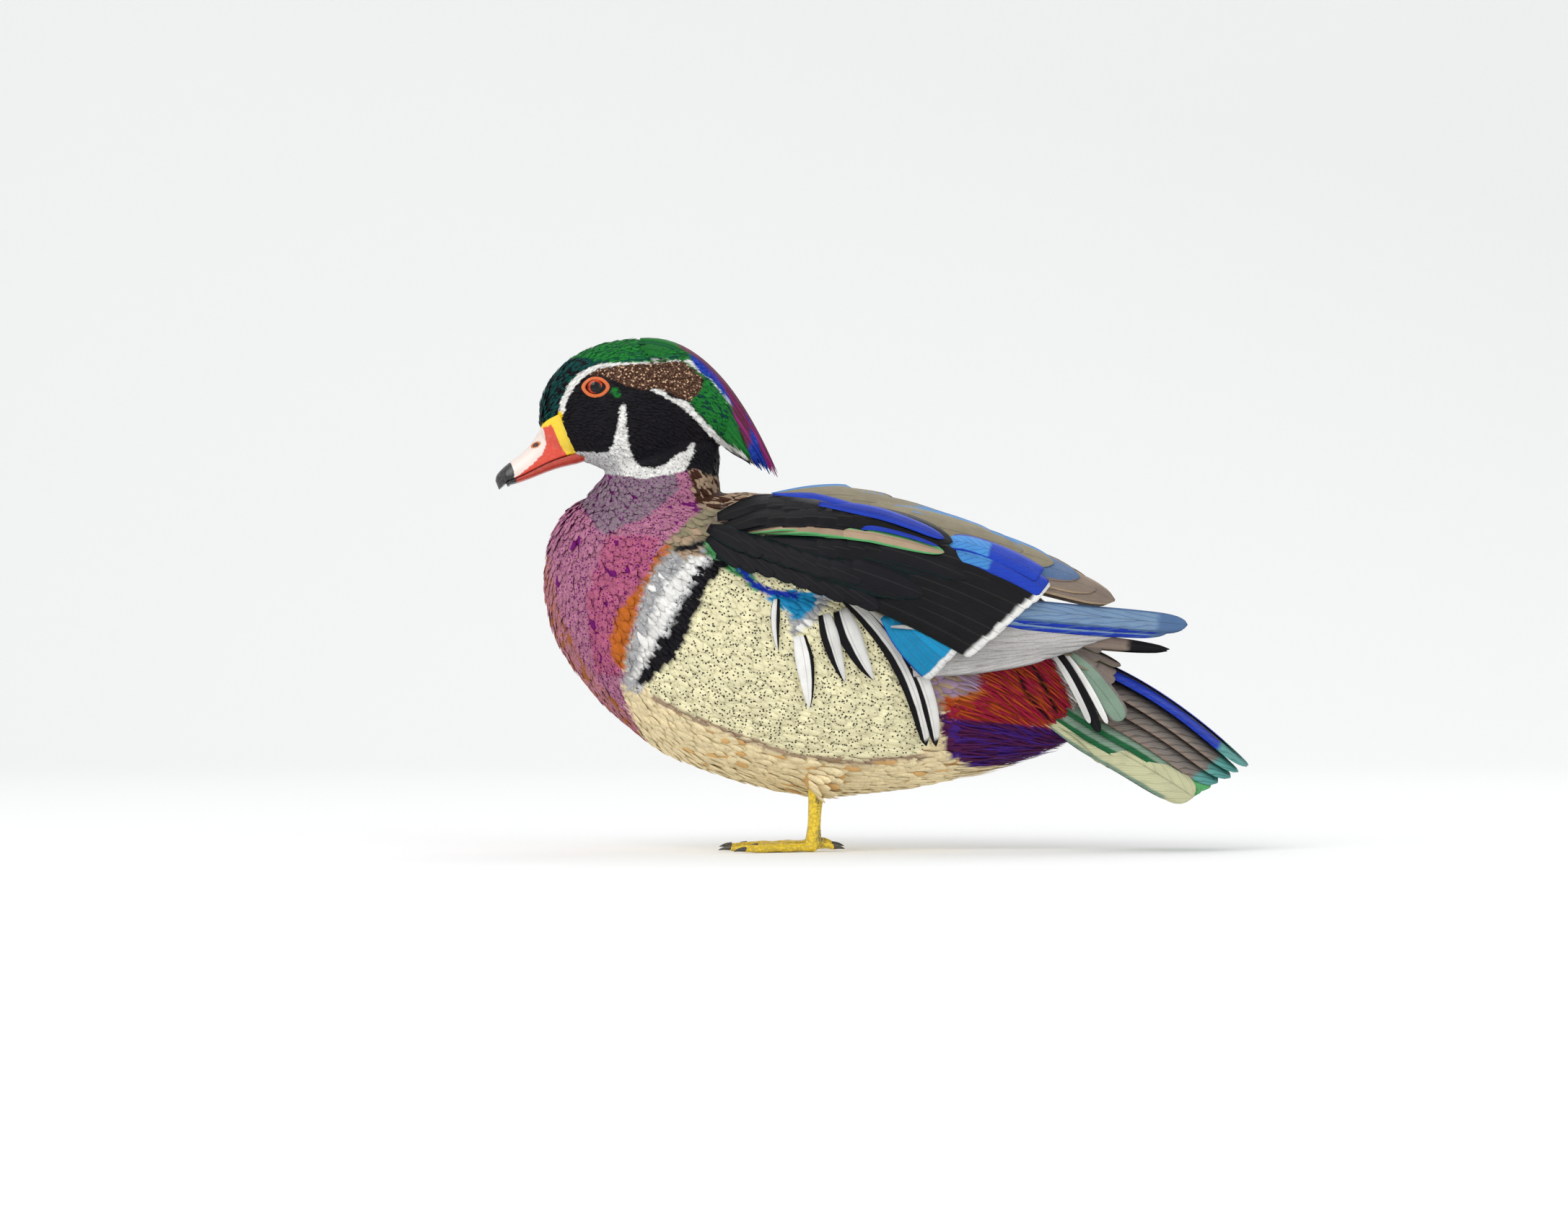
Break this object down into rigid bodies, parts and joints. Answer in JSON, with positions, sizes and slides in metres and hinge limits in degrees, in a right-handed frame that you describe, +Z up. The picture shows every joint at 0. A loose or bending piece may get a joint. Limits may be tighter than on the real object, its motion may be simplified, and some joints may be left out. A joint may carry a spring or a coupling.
{
  "type": "standing wood duck drake model",
  "caption": "Life-size still model of a drake wood duck, standing at rest with its neck drawn in, crest laid back and tail lowered.",
  "frame": {"origin": "on the floor plane under the middle of the bounding box", "axes": "+Z up; the bird faces -X, its right side is +Y and its left side is -Y"},
  "size_m": [0.3598, 0.1172, 0.2453],
  "materials": {
    "head_plumage": "short glossy feathers, black with green and purple sheen",
    "crest_plumage": "long narrow feathers with a green, blue and magenta sheen",
    "bill_red": "smooth hard skin over horn, satin",
    "bill_under": "smooth hard skin, satin",
    "breast_plumage": "soft close feathers, matt",
    "flank_plumage": "soft close feathers with fine dark lines, matt",
    "vent_plumage": "long soft hair-like feathers",
    "tail_plumage": "stiff feathers, slightly glossy",
    "wing_plumage": "stiff glossy feathers with blue and green sheen",
    "eye": "wet gloss, red ring round a black pupil",
    "leg_skin": "scaly skin, satin",
    "claw_horn": "horn, satin"
  },
  "bodies": {
    "root": {"head": "head_plumage", "crest": "crest_plumage", "bill_upper": "bill_red", "bill_lower": "bill_under", "neck": "breast_plumage", "breast": "breast_plumage", "torso": "flank_plumage", "rump": "vent_plumage", "tail": "tail_plumage", "eye_left": "eye", "wing_left": "wing_plumage", "thigh_left": "flank_plumage", "tarsus_left": "leg_skin", "foot_left": "leg_skin", "claw_left_inner": "claw_horn", "claw_left_middle": "claw_horn", "claw_left_outer": "claw_horn", "claw_left_hind": "claw_horn", "eye_right": "eye", "wing_right": "wing_plumage", "thigh_right": "flank_plumage", "tarsus_right": "leg_skin", "foot_right": "leg_skin", "claw_right_inner": "claw_horn", "claw_right_middle": "claw_horn", "claw_right_outer": "claw_horn", "claw_right_hind": "claw_horn"}
  },
  "joints": []
}
